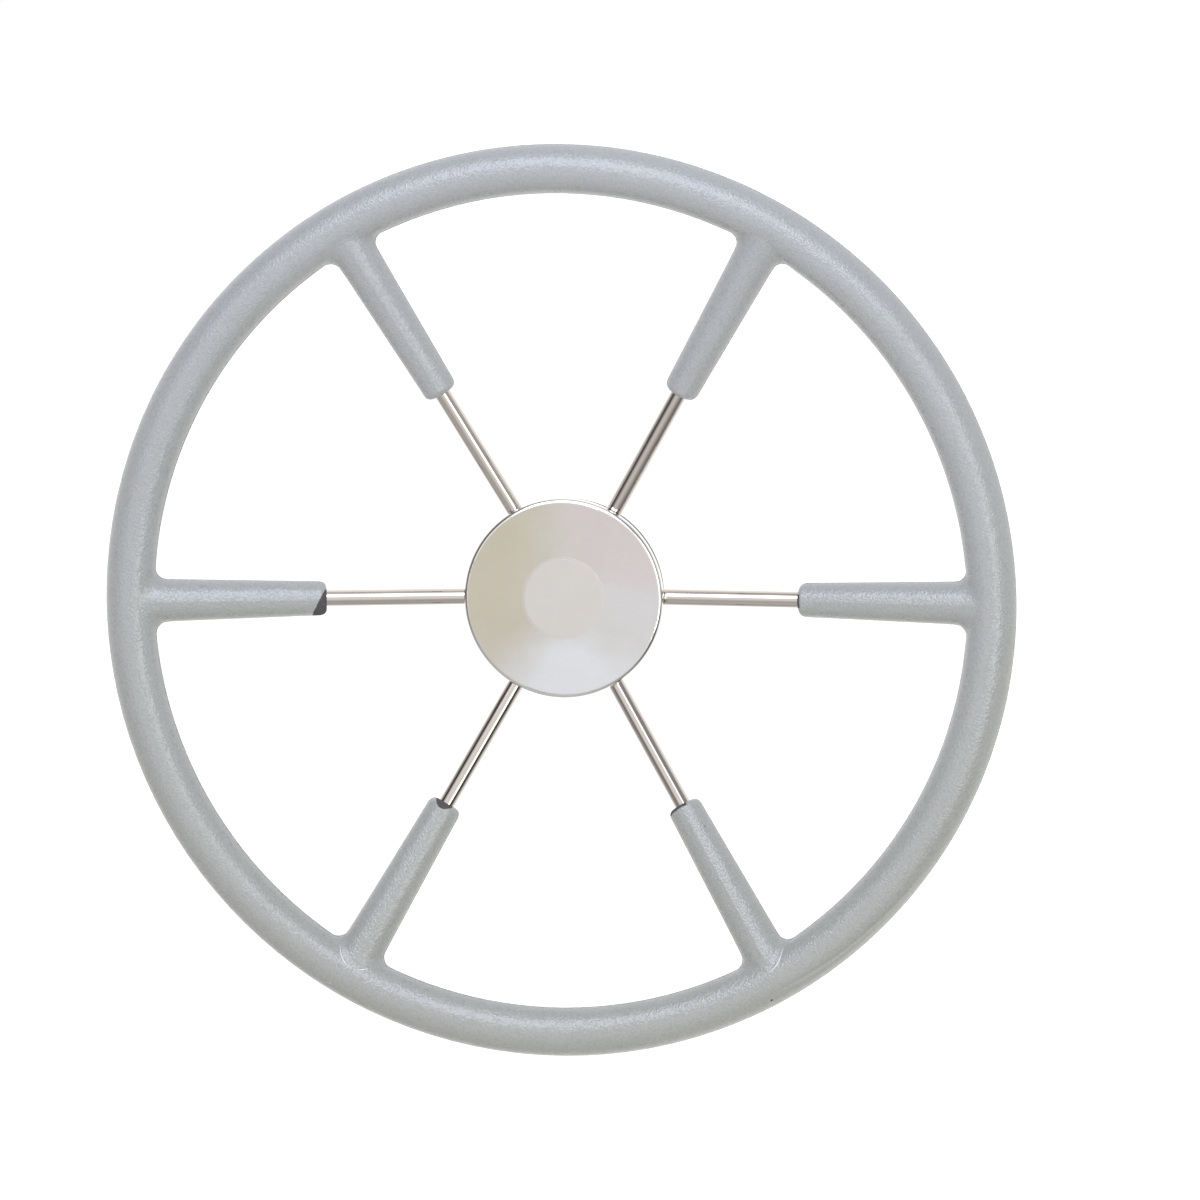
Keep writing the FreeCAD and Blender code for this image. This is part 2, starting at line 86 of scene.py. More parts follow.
@dataclass(frozen=True)
class WheelSizes:
    """Places that several pieces share, in metres, read from the frame where it gives them.

    Attributes:
        rim_radius: from the shaft axis to the middle of the rim's section.
        rim_plane: where the middle of the rim lies along the shaft.
        grip_radius: half of the moulded rim's thickness.
        cap_radius: outside of the cap.
        dish: slope of the spokes, in radians.
        sleeve_end: from the shaft axis to the inner end of a sleeve.
    """

    rim_radius: float
    rim_plane: float
    grip_radius: float
    cap_radius: float
    dish: float = math.radians(9.0)
    sleeve_end: float = 117.5 * MM

    @classmethod
    def from_frame(cls) -> "WheelSizes":
        """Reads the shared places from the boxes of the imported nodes.

        Returns:
            The wheel's sizes.
        """
        core_low, core_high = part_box("rim_core")
        rim_radius = core_high.x - (core_high.y - core_low.y) / 2
        return cls(
            rim_radius=rim_radius,
            rim_plane=(core_high.y + core_low.y) / 2,
            grip_radius=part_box("rim_grip")[1].x - rim_radius,
            cap_radius=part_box("hub_cap")[1].x,
        )

    def spoke_line(self, radius: float) -> float:
        """Where the spokes' centre lines lie along the shaft, at a distance from its axis."""
        return self.rim_plane + (self.rim_radius - radius) * math.tan(self.dish)


class Bench:
    """Adds nodes to one shader tree and joins them as they are made."""

    def __init__(self, tree: bpy.types.NodeTree) -> None:
        """Takes the tree that the nodes go into."""
        self.tree = tree

    def feed(self, socket: Socket, term: Term) -> None:
        """Links a term to a socket, or sets it there.

        Args:
            socket: the input to fill.
            term: another node's output, or a plain value. A colour needs no alpha.
        """
        if isinstance(term, Socket):
            self.tree.links.new(term, socket)
        else:
            socket.default_value = (*term, 1.0) if socket.type == "RGBA" else term

    def add(self, kind: str, inputs: Mapping[str | int, Term] | None = None, **settings: object) -> Node:
        """Makes one node.

        Args:
            kind: the node's type, without its ShaderNode prefix.
            inputs: terms for the named or numbered inputs.
            settings: the node's own properties.

        Returns:
            The new node.
        """
        node = self.tree.nodes.new(f"ShaderNode{kind}")
        for name, setting in settings.items():
            setattr(node, name, setting)
        for key, term in (inputs or {}).items():
            self.feed(node.inputs[key], term)
        return node

    def maths(self, operation: str, *terms: Term) -> Socket:
        """Result of a sum on up to three terms."""
        return self.add("Math", dict(enumerate(terms)), operation=operation).outputs[0]

    def times(self, *terms: Term) -> Socket:
        """Multiplies terms.

        Args:
            terms: two terms or more.

        Returns:
            Their product.
        """
        product, *others = terms
        for term in others:
            product = self.maths("MULTIPLY", product, term)
        return product

    def vector(self, operation: str, *terms: Term, output: int = 0) -> Socket:
        """Result of a sum on vectors: output 0 is a vector and output 1 a number."""
        return self.add("VectorMath", dict(enumerate(terms)), operation=operation).outputs[output]

    def scaled(self, vector: Term, factor: Term) -> Socket:
        """A vector or a colour times a factor."""
        return self.add("VectorMath", {0: vector, "Scale": factor}, operation="SCALE").outputs[0]

    def ramp(self, term: Term, low: float, high: float, start: Term = 0.0, end: Term = 1.0) -> Socket:
        """Smooth step from a start to an end, while a term goes from low to high."""
        inputs = {"Value": term, "From Min": low, "From Max": high, "To Min": start, "To Max": end}
        return self.add("MapRange", inputs, interpolation_type="SMOOTHSTEP").outputs["Result"]

    def within(self, term: Term, limit: float, fade: float = EDGE) -> Socket:
        """1 up to a limit, and 0 from one fade's width past it."""
        return self.ramp(term, limit, limit + fade, 1.0, 0.0)

    def blend(self, share: Term, first: Term, second: Term) -> Socket:
        """Colour between two colours, by a share of the second."""
        return self.add("Mix", {0: share, 6: first, 7: second}, data_type="RGBA").outputs[2]

    def join(self, along: Term, across: Term, up: Term) -> Socket:
        """Vector of three terms."""
        return self.add("CombineXYZ", {0: along, 1: across, 2: up}).outputs[0]

    def split(self, vector: Socket) -> tuple[Socket, ...]:
        """The three terms of a vector."""
        return tuple(self.add("SeparateXYZ", {0: vector}).outputs)

    def noise(self, place: Term, scale: Term, detail: float = 2.0) -> Socket:
        """Soft noise from 0 to 1."""
        return self.add("TexNoise", {"Vector": place, "Scale": scale, "Detail": detail}).outputs[0]


class Effect(Bench):
    """Shader node group that more than one finish uses."""

    def __init__(self, name: str, inputs: Mapping[str, float | None], outputs: Sequence[str]) -> None:
        """Makes the group and its sockets.

        Args:
            name: the group's name.
            inputs: each input with its usual value, or None for a vector.
            outputs: the values that the group puts out.
        """
        super().__init__(bpy.data.node_groups.new(name, "ShaderNodeTree"))
        new_socket = self.tree.interface.new_socket
        for label, usual in inputs.items():
            kind = "NodeSocketVector" if usual is None else "NodeSocketFloat"
            socket = new_socket(name=label, in_out="INPUT", socket_type=kind)
            if usual is not None:
                socket.default_value = usual
        for label in outputs:
            new_socket(name=label, in_out="OUTPUT", socket_type="NodeSocketFloat")
        self.given = self.tree.nodes.new("NodeGroupInput").outputs
        self.result = self.tree.nodes.new("NodeGroupOutput").inputs

    def put_out(self, **results: Socket) -> None:
        """Joins the named results to the group's outputs."""
        for name, socket in results.items():
            self.feed(self.result[name], socket)


class ShaftPlace(Effect):
    """Where a point lies about the shaft: its radius, its angle and its depth from the rear face."""

    def __init__(self) -> None:
        """Builds the group."""
        super().__init__("ShaftPlace", {"Place": None}, ("Radius", "Angle", "Depth"))
        x, y, z = self.split(self.given["Place"])
        radius = self.vector("LENGTH", self.join(x, 0.0, z), output=1)
        self.put_out(Radius=radius, Angle=self.maths("ARCTAN2", z, x), Depth=y)


class SpokePlace(Effect):
    """Where a point lies on its nearest spoke.

    Run is the distance from the shaft axis, Across is square to the spoke in the rim's plane,
    Front is from the spoke's centre line towards the helmsman, and Off is the distance from that
    line.
    """

    def __init__(self, sizes: WheelSizes) -> None:
        """Builds the group.

        Args:
            sizes: the wheel's shared places.
        """
        super().__init__("SpokePlace", {"Place": None}, ("Run", "Across", "Front", "Off"))
        x, y, z = self.split(self.given["Place"])
        angle = self.maths("ARCTAN2", z, x)
        nearest = self.times(self.maths("ROUND", self.maths("DIVIDE", angle, TURN)), TURN)
        turned = self.maths("SUBTRACT", angle, nearest)
        radius = self.vector("LENGTH", self.join(x, 0.0, z), output=1)
        run = self.times(radius, self.maths("COSINE", turned))
        across = self.times(radius, self.maths("SINE", turned))
        fallen = self.maths("SUBTRACT", sizes.rim_radius, run)
        line = self.maths("MULTIPLY_ADD", fallen, math.tan(sizes.dish), sizes.rim_plane)
        front = self.times(self.maths("SUBTRACT", line, y), math.cos(sizes.dish))
        off = self.vector("LENGTH", self.join(across, front, 0.0), output=1)
        self.put_out(Run=run, Across=across, Front=front, Off=off)


class PebbleGrain(Effect):
    """Moulded grain: rounded pebbles with creases between them, and finer dust on top; Crease marks the
    creases, for painted shade.
    """

    def __init__(self, warp: float = 2.0 * MM, dust_height: float = 0.35) -> None:
        """Builds the group.

        Args:
            warp: how far the pebbles are pulled out of their rows.
            dust_height: height of the dust, where a pebble's is 1.
        """
        super().__init__("PebbleGrain", {"Place": None, "Scale": 900.0}, ("Height", "Crease"))
        place, scale = self.given["Place"], self.given["Scale"]
        slow = {"Vector": place, "Scale": self.times(scale, 0.35), "Detail": 1.0}
        drift = self.add("TexNoise", slow).outputs[1]
        pulled = self.scaled(self.vector("SUBTRACT", drift, (0.5, 0.5, 0.5)), warp)
        pebbles = {"Vector": self.vector("ADD", place, pulled), "Scale": scale, "Smoothness": 0.35}
        cells = self.add("TexVoronoi", pebbles, feature="SMOOTH_F1").outputs["Distance"]
        dust = self.noise(place, self.times(scale, 2.6), 1.0)
        height = self.maths("MULTIPLY_ADD", dust, dust_height, self.within(cells, 0.0, 0.75))
        self.put_out(Height=height, Crease=self.ramp(cells, 0.45, 0.8))


class Mottle(Effect):
    """Slow unevenness of a surface, about 1."""

    def __init__(self) -> None:
        """Builds the group."""
        super().__init__("Mottle", {"Place": None, "Scale": 30.0, "Amount": 0.05}, ("Value",))
        place, scale = self.given["Place"], self.given["Scale"]
        narrow = self.noise(place, self.times(scale, 4.3))
        both = self.maths("MULTIPLY_ADD", narrow, 0.4, self.times(self.noise(place, scale), 0.6))
        swing = self.times(self.maths("SUBTRACT", both, 0.5), self.given["Amount"])
        self.put_out(Value=self.maths("MULTIPLY_ADD", swing, 2.0, 1.0))


class ToolLines(Effect):
    """Fine lines that a lathe, a belt or a die leaves.

    Cut is the direction across the lines, in metres, and Lie is a slow coordinate along them.
    """

    def __init__(self) -> None:
        """Builds the group."""
        inputs = {"Cut": 0.0, "Lie": 0.0, "Pitch": 0.3 * MM, "Length": 1.0}
        super().__init__("ToolLines", inputs, ("Value",))
        cut = self.maths("DIVIDE", self.given["Cut"], self.given["Pitch"])
        lie = self.maths("DIVIDE", self.given["Lie"], self.given["Length"])
        coarse = self.noise(self.join(cut, lie, 0.0), 1.0, 3.0)
        fine = self.noise(self.join(cut, lie, 7.0), 3.7, 1.0)
        self.put_out(Value=self.maths("MULTIPLY_ADD", fine, 0.45, self.times(coarse, 0.55)))


@dataclass(frozen=True)
class Kit:
    """What the finishes share: the wheel's sizes, and the effects, built once."""

    sizes: WheelSizes
    shaft: ShaftPlace
    spoke: SpokePlace
    grain: PebbleGrain
    mottle: Mottle
    lines: ToolLines

    @classmethod
    def build(cls, sizes: WheelSizes) -> "Kit":
        """Builds the effects for a wheel of these sizes."""
        return cls(sizes, ShaftPlace(), SpokePlace(sizes), PebbleGrain(), Mottle(), ToolLines())


class Paint(Bench):
    """Material with a single shader."""

    def __init__(self, name: str) -> None:
        """Makes the material.

        Args:
            name: its name.
        """
        self.material = bpy.data.materials.new(name)
        self.material.use_nodes = True
        super().__init__(self.material.node_tree)
        self.shader = self.tree.nodes["Principled BSDF"].inputs

    def shade(self, **terms: Term) -> None:
        """Feeds the shader's sockets, named with _ for spaces."""
        for name, term in terms.items():
            self.feed(self.shader[name.replace("_", " ")], term)


@dataclass
class Finish(Paint):
    """Finish of a piece, painted when it is made.

    Attributes:
        kit: the sizes and effects that the finishes share.
        slot: the record's name for the finish.
        name: the material's own name, where it isn't the slot's.
    """

    kit: Kit
    slot: Slot
    name: str = ""

    def __post_init__(self) -> None:
        """Makes the material and paints it."""
        super().__init__(self.name or self.slot.value)
        self.paint()

    def paint(self) -> None:
        """Adds the nodes of one kind of finish."""
        raise NotImplementedError

    @cached_property
    def place(self) -> Socket:
        """Place on the object, in metres, in the wheel's own frame."""
        return self.add("TexCoord").outputs["Object"]

    @cached_property
    def shaft(self) -> Outputs:
        """Radius, Angle and Depth of the shaded point about the shaft."""
        return self.effect(self.kit.shaft, Place=self.place)

    @cached_property
    def spoke(self) -> Outputs:
        """Run, Across, Front and Off of the shaded point on its nearest spoke."""
        return self.effect(self.kit.spoke, Place=self.place)

    def effect(self, effect: Effect, **inputs: Term) -> Outputs:
        """Outputs of a shared effect, placed in this material with its own values."""
        return self.add("Group", inputs, node_tree=effect.tree).outputs

    def grain(self, scale: float) -> Outputs:
        """Height and Crease, the mask for painted shade in the creases, of a moulded grain with so many
        pebbles to a metre.
        """
        return self.effect(self.kit.grain, Place=self.place, Scale=scale)

    def mottle(self, scale: float, amount: float) -> Socket:
        """Slow unevenness about 1."""
        return self.effect(self.kit.mottle, Place=self.place, Scale=scale, Amount=amount)["Value"]

    def lines(self, cut: Term, lie: Term, pitch: float, length: float) -> Socket:
        """Fine tool lines from 0 to 1."""
        return self.effect(self.kit.lines, Cut=cut, Lie=lie, Pitch=pitch, Length=length)["Value"]

    def bump(self, height: Term, distance: float) -> None:
        """Feeds the shader's normal from a height, where 1 stands for a distance in metres."""
        self.shade(Normal=self.add("Bump", {"Height": height, "Distance": distance}).outputs[0])


def spoke_direction(spoke: int) -> tuple[float, float, float]:
    """Direction of a numbered spoke from the shaft, in the rim's plane."""
    angle = (1 - spoke) * TURN
    return (math.cos(angle), 0.0, math.sin(angle))


@dataclass(frozen=True)
class WornEndAndShade:
    """Sleeve end where the skin stops short of the foam, by a bowed line across the sleeve; on the thin
    ones the foam's dark colour is also painted shade where the end meets the rod.

    Attributes:
        spoke: the sleeve's number, from 1 at the right, clockwise as the helmsman sees them.
        depth: bare foam on the sleeve's middle line, from its end.
        slope: how much deeper it gets for each unit across the sleeve.
        bow: how much deeper it gets for each unit squared.
        middle: middle of the bare stretch, across the sleeve.
        half: half of that stretch's width.
    """

    spoke: int
    depth: float
    slope: float = 0.0
    bow: float = 0.0
    middle: float = 0.0
    half: float = 12.0 * MM


@dataclass(frozen=True)
class SkinMark:
    """Small mark on the skin.

    Attributes:
        place: its middle, in the wheel's frame.
        radius: how far it reaches.
        tone: the skin's colour there is scaled by this.
    """

    place: tuple[float, float, float]
    radius: float
    tone: float


@dataclass(frozen=True)
class SeamLine:
    """Fine line along the rim where the mould's edge marked the skin.

    Attributes:
        lean: angle round the rim's section, from the front towards the outside, in degrees.
        slant: how fast that angle grows along the rim, anticlockwise.
        width: the line's own width, with its soft edges.
        tone: the skin's colour on it is scaled by this.
    """

    lean: float
    slant: float
    width: float
    tone: float


@dataclass
class GripSkin(Finish):
    """Grey moulded skin with a fine grain, over dark foam that shows where the skin ends.

    Attributes:
        skin: colour of the skin at the top of the rim, cooler there as painted light from above.
        painted_bottom_light: its colour at the bottom of the rim, warmer and a little darker as painted
            light from below.
        gloss: the skin's specular level.
        grain_scale: pebbles to a metre.
        crease_shade: how much darker the skin is painted in the grain's creases, as painted shade.
        foam_drop: how far the foam lies below the skin, in heights of the grain.
        mouth: how far the dark ring at a sleeve's end reaches from the spoke's centre line; it is bare
            foam, and also painted shade in the gap round the rod.
        mouth_depth: how far it reaches up the sleeve.
        ragged: how far the skin's worn edges wander.
        worn_ends_and_shade: sleeve ends with bare foam beyond the skin; the thin bands at sleeves 1 and 2
            are also painted shade where the end meets the rod.
        marks: pin-holes, specks and scuffs.
        seam_lines: lines of the mould's edge, on the outside of the rim.
        seam_middle: middle of the stretch of rim that shows them, in degrees from +X to +Z.
        seam_half: half of that stretch, in degrees.
        waver: how far those lines stray round the rim's section, in radians.
    """

    slot: Slot = Slot.GRIP
    skin: Colour = (0.388, 0.398, 0.416)
    painted_bottom_light: Colour = (0.370, 0.378, 0.370)
    roughness: float = 0.185
    gloss: float = 0.78
    grain_scale: float = 830.0
    grain_depth: float = 0.14 * MM
    crease_shade: float = 0.085
    foam: Colour = (0.075, 0.068, 0.074)
    foam_roughness: float = 0.9
    foam_drop: float = 4.0
    mouth: float = 5.1 * MM
    mouth_depth: float = 1.0 * MM
    ragged: float = 0.9 * MM
    worn_ends_and_shade: tuple[WornEndAndShade, ...] = (
        # Sleeves 1 and 2: thin dark bands, partly bare foam and partly painted shade where the sleeve's
        # end meets the rod.
        WornEndAndShade(spoke=1, depth=0.35 * MM, half=3.0 * MM),
        WornEndAndShade(spoke=2, depth=0.1 * MM, bow=28.0, middle=-3.0 * MM, half=5.5 * MM),
        WornEndAndShade(spoke=3, depth=1.8 * MM, slope=-0.24, bow=-118.0, middle=-1.0 * MM, half=4.6 * MM),
        WornEndAndShade(spoke=4, depth=2.2 * MM, slope=0.535),
    )
    marks: tuple[SkinMark, ...] = (
        SkinMark((104.6 * MM, -73.6 * MM, -195.2 * MM), 1.10 * MM, 0.06),
        SkinMark((70.6 * MM, -58.8 * MM, -111.3 * MM), 0.70 * MM, 0.55),
        SkinMark((161.0 * MM, -75.1 * MM, -149.0 * MM), 0.65 * MM, 0.72),
        SkinMark((159.2 * MM, -75.9 * MM, -147.4 * MM), 0.60 * MM, 1.12),
        SkinMark((-114.5 * MM, -74.4 * MM, -188.4 * MM), 1.00 * MM, 1.32),
        SkinMark((-117.6 * MM, -75.0 * MM, -185.8 * MM), 0.70 * MM, 1.16),
    )
    seam_lines: tuple[SeamLine, ...] = (
        SeamLine(lean=35.5, slant=0.95, width=3.2 * MM, tone=0.93),
        SeamLine(lean=44.5, slant=1.05, width=3.6 * MM, tone=1.12),
        SeamLine(lean=52.5, slant=0.55, width=2.8 * MM, tone=0.93),
        SeamLine(lean=61.5, slant=-0.3, width=4.6 * MM, tone=1.07),
    )
    seam_middle: float = -48.5
    seam_half: float = 15.0
    waver: float = 0.08

    def paint(self) -> None:
        """Lays the skin over the foam, with its grain, its marks and its lines."""
        # Foam colour where the skin ends, and also painted shade round the rods at the sleeves' mouths.
        bare = self.mouth_foam_and_shade_mask()
        for end in self.worn_ends_and_shade:
            bare = self.maths("MAXIMUM", bare, self.worn_and_shade_mask(end))
        grain = self.grain(self.grain_scale)
        # Painted shade: the skin darker in the grain's creases.
        crease_shade = self.maths("MULTIPLY_ADD", grain["Crease"], -self.crease_shade, 1.0)
        marks = [self.mark_tone(mark) for mark in self.marks]
        tone = self.times(self.mottle(22.0, 0.05), crease_shade, *marks, self.seam_tone())
        # Painted light: the skin's colour goes from cool at the rim's top to warm at its bottom.
        reach = self.kit.sizes.rim_radius
        low = self.within(self.split(self.place)[2], -reach, 2 * reach)
        skin = self.scaled(self.blend(low, self.skin, self.painted_bottom_light), tone)
        foam = self.scaled(self.foam, self.mottle(1400.0, 0.9))
        rough = self.times(self.mottle(60.0, 0.08), self.roughness)
        self.shade(
            Base_Color=self.blend(bare, skin, foam),
            Roughness=self.ramp(bare, 0.0, 1.0, rough, self.foam_roughness),
            Specular_IOR_Level=self.gloss,
        )
        self.bump(self.maths("MULTIPLY_ADD", bare, -self.foam_drop, grain["Height"]), self.grain_depth)

    def mark_tone(self, mark: SkinMark) -> Socket:
        """Share of the skin's colour that a mark leaves.

        Args:
            mark: the mark.

        Returns:
            The mark's tone in it, and 1 elsewhere.
        """
        away = self.vector("DISTANCE", self.place, mark.place, output=1)
        far = self.maths("MULTIPLY_ADD", self.noise(self.place, 1500.0), 0.8 * mark.radius, away)
        return self.ramp(far, 0.75 * mark.radius, 1.35 * mark.radius, mark.tone, 1.0)

    def seam_tone(self) -> Socket:
        """Share of the skin's colour that the lines of the mould's edge leave.

        Returns:
            Each line's tone on it, and 1 elsewhere.
        """
        sizes = self.kit.sizes
        outward = self.maths("SUBTRACT", self.shaft["Radius"], sizes.rim_radius)
        forward = self.maths("SUBTRACT", sizes.rim_plane, self.shaft["Depth"])
        waver = self.maths("MULTIPLY_ADD", self.noise(self.place, 45.0), self.waver, -self.waver / 2)
        section = self.maths("ADD", self.maths("ARCTAN2", outward, forward), waver)
        off_middle = self.maths("SUBTRACT", self.shaft["Angle"], math.radians(self.seam_middle))
        fade = math.radians(self.seam_half) / 2
        shown = self.within(self.maths("ABSOLUTE", off_middle), fade, fade)
        tones = []
        for line in self.seam_lines:
            straight = self.maths("MULTIPLY_ADD", off_middle, -line.slant, section)
            off_line = self.maths("SUBTRACT", straight, math.radians(line.lean))
            half_width = line.width / 2 / sizes.grip_radius
            share = self.within(self.maths("ABSOLUTE", off_line), 0.0, half_width)
            tones.append(self.ramp(self.times(share, shown), 0.0, 1.0, 1.0, line.tone))
        return self.times(*tones)

    def mouth_foam_and_shade_mask(self) -> Socket:
        """1 on the ring round each spoke at its sleeve's end, in the foam's colour as bare foam and as
        painted shade in the gap round the rod, and 0 on the skin.
        """
        at_end = self.within(self.spoke["Run"], self.kit.sizes.sleeve_end + self.mouth_depth)
        return self.times(self.within(self.spoke["Off"], self.mouth), at_end)

    def worn_and_shade_mask(self, end: WornEndAndShade) -> Socket:
        """Finds the foam colour at one sleeve's end, which on the thin bands is also painted shade.

        Args:
            end: the sleeve end.

        Returns:
            1 on the foam and 0 on the skin.
        """
        across, start = self.spoke["Across"], self.kit.sizes.sleeve_end
        bowed = self.maths("MULTIPLY_ADD", across, end.bow, end.slope)
        edge = self.maths("MULTIPLY_ADD", bowed, across, start + end.depth)
        wander = self.maths("MULTIPLY_ADD", self.noise(self.place, 700.0), self.ragged, -self.ragged / 2)
        beyond = self.maths("SUBTRACT", self.spoke["Run"], self.maths("ADD", edge, wander))
        aside = self.maths("ABSOLUTE", self.maths("SUBTRACT", across, end.middle))
        along = self.vector("DOT_PRODUCT", self.place, spoke_direction(end.spoke), output=1)
        this_sleeve = self.ramp(along, start - 4.0 * MM, start - 3.0 * MM)
        worn = self.within(beyond, 0.0, 0.15 * MM)
        return self.times(worn, self.within(aside, end.half, 0.5 * MM), this_sleeve)


@dataclass
class PolishedBar(Finish):
    """Drawn stainless bar polished along its length."""

    slot: Slot = Slot.SPOKE
    steel: Colour = (0.67, 0.615, 0.565)
    roughness: float = 0.05
    line_depth: float = 0.0015 * MM

    def paint(self) -> None:
        """Draws fine lines along the bar."""
        round_bar = self.maths("ARCTAN2", self.spoke["Across"], self.spoke["Front"])
        lines = self.lines(round_bar, self.spoke["Run"], 0.06, 0.05)
        self.shade(
            Base_Color=self.scaled(self.steel, self.mottle(40.0, 0.05)),
            Metallic=1.0,
            Roughness=self.ramp(lines, 0.25, 0.75, 0.75 * self.roughness, 1.3 * self.roughness),
        )
        self.bump(lines, self.line_depth)


@dataclass(frozen=True)
class PaintedReflection:
    """Painted reflection: a cast of colour laid on one side of the cap's brush-finished face, standing in
    for what that side mirrors.

    Attributes:
        side: the side, as a direction from the shaft.
        start: cosine of the angle from that side at which the cast starts.
    """

    side: tuple[float, float, float]
    start: float
    colour: Colour


@dataclass
class SpunCap(Finish):
    """Stainless sheet with a circular brush finish and painted reflections, a plain matt panel and a
    polished bend.

    Attributes:
        painted_reflections: casts of colour painted over the plain steel as reflections.
        panel_flat: radius of the raised panel's flat middle.
        panel_foot: radius at which its edge meets the face.
        panel_step: how much of that edge's slope the soft finish hides.
        bend_width: width of the bend at the cap's edge.
    """

    slot: Slot = Slot.CAP
    steel: Colour = (0.66, 0.635, 0.595)
    # Painted reflections: warm beige on the left, light on the right, pinkish at the upper right, cool
    # below.
    painted_reflections: tuple[PaintedReflection, ...] = (
        PaintedReflection((-0.97, 0.0, 0.24), -0.10, (0.575, 0.53, 0.425)),
        PaintedReflection((1.0, 0.0, -0.09), 0.35, (0.67, 0.655, 0.645)),
        PaintedReflection((0.70, 0.0, 0.71), 0.55, (0.675, 0.61, 0.60)),
        PaintedReflection((0.08, 0.0, -1.0), 0.45, (0.755, 0.76, 0.79)),
    )
    roughness: tuple[float, float] = (0.26, 0.40)
    brush_pitch: float = 0.35 * MM
    brush_depth: float = 0.006 * MM
    anisotropy: float = 0.35
    panel: Colour = (0.698, 0.66, 0.63)
    panel_roughness: float = 0.42
    panel_flat: float = 19.35 * MM
    panel_foot: float = 20.25 * MM
    panel_step: float = 0.18 * MM
    bend: Colour = (0.86, 0.84, 0.81)
    bend_roughness: float = 0.10
    bend_width: float = 2.3 * MM

    def paint(self) -> None:
        """Lays the panel and the bend over the brush-finished face and its painted reflections."""
        radius = self.shaft["Radius"]
        lines = self.lines(radius, self.shaft["Angle"], self.brush_pitch, 0.9)
        step = self.ramp(radius, self.panel_flat, self.panel_foot, 1.0, 0.0)
        in_panel = self.ramp(radius, self.panel_flat - MM, self.panel_foot + MM, 1.0, 0.0)
        bend_start = self.kit.sizes.cap_radius - self.bend_width
        on_bend = self.ramp(radius, bend_start, bend_start + 0.5 * MM)
        # The face's colour holds the painted reflections.
        face = self.blend(in_panel, self.brush_finish_and_reflections(), self.scaled(self.panel, self.wear()))
        rough = self.ramp(lines, *LINE_SPAN, *self.roughness)
        rough = self.ramp(in_panel, 0.0, 1.0, rough, self.panel_roughness)
        round_shaft = self.add("Tangent", direction_type="RADIAL", axis="Y").outputs[0]
        level = {0: in_panel, 4: round_shaft, 5: (1.0, 0.0, 0.0)}
        self.shade(
            Base_Color=self.blend(on_bend, face, self.bend),
            Metallic=1.0,
            Roughness=self.ramp(on_bend, 0.0, 1.0, rough, self.bend_roughness),
            Anisotropic=self.anisotropy,
            Tangent=self.add("Mix", level, data_type="VECTOR").outputs[1],
        )
        flat = self.maths("SUBTRACT", 1.0, self.maths("MAXIMUM", step, on_bend))
        brush = self.times(lines, flat, self.brush_depth / MM)
        soft_edge = self.times(step, -self.panel_step / MM)
        self.bump(self.maths("ADD", brush, soft_edge), MM)

    def brush_finish_and_reflections(self) -> Socket:
        """Mixes the painted reflections on the brush-finished face, in soft uneven patches.

        Returns:
            The face's colour, with its painted reflections.
        """
        x, _, z = self.split(self.place)
        reach = self.maths("MULTIPLY_ADD", self.shaft["Radius"], 0.8, 8.0 * MM)
        outward = self.join(self.maths("DIVIDE", x, reach), 0.0, self.maths("DIVIDE", z, reach))
        patches = self.noise(self.place, 34.0, 3.0)
        colour: Term = self.steel
        # Each cast is a painted reflection on one side of the face.
        for reflection in self.painted_reflections:
            toward = self.vector("DOT_PRODUCT", outward, reflection.side, output=1)
            uneven = self.maths("MULTIPLY_ADD", patches, 0.8, self.maths("SUBTRACT", toward, 0.4))
            colour = self.blend(self.ramp(uneven, reflection.start, 1.0), colour, reflection.colour)
        streaks = self.ramp(self.lines(z, x, 0.45 * MM, 0.018), 0.3, 0.7, -0.015, 0.015)
        return self.scaled(colour, self.maths("ADD", streaks, self.mottle(120.0, 0.03)))

    def wear(self) -> Socket:
        """Draws the panel's faint level scratches and cloudy patches.

        Returns:
            Their tone, about 1.
        """
        x, _, z = self.split(self.place)
        scratches = self.ramp(self.lines(z, x, 0.30 * MM, 0.012), 0.60, 0.72, 1.0, 0.965)
        return self.times(scratches, self.mottle(70.0, 0.035))


@dataclass
class CoatedHub(Finish):
    """Black powder coat on a turned aluminium hub, with its bores left bare."""

    slot: Slot = Slot.HUB
    coat: Colour = (0.022, 0.022, 0.024)
    coat_roughness: float = 0.42
    metal: Colour = (0.62, 0.62, 0.63)
    metal_roughness: float = 0.30
    grain_scale: float = 1300.0
    grain_depth: float = 0.02 * MM
    bore_radius: float = 11.0 * MM
    recess_radius: float = 19.4 * MM
    recess_floor: float = -29.0 * MM

    def paint(self) -> None:
        """Lays the coat round the bare bores."""
        radius, depth = self.shaft["Radius"], self.shaft["Depth"]
        in_recess = self.times(
            self.within(radius, self.recess_radius), self.within(depth, self.recess_floor)
        )
        bare = self.maths("MAXIMUM", self.within(radius, self.bore_radius), in_recess)
        lines = self.lines(self.maths("ADD", radius, depth), self.shaft["Angle"], 0.25 * MM, 3.0)
        metal = self.scaled(self.metal, self.ramp(lines, *LINE_SPAN, 0.9, 1.05))
        coat = self.scaled(self.coat, self.mottle(90.0, 0.25))
        self.shade(
            Base_Color=self.blend(bare, coat, metal),
            Metallic=bare,
            Roughness=self.ramp(bare, 0.0, 1.0, self.coat_roughness, self.metal_roughness),
        )
        grain = self.grain(self.grain_scale)["Height"]
        self.bump(self.ramp(bare, 0.0, 1.0, grain, lines), self.grain_depth)


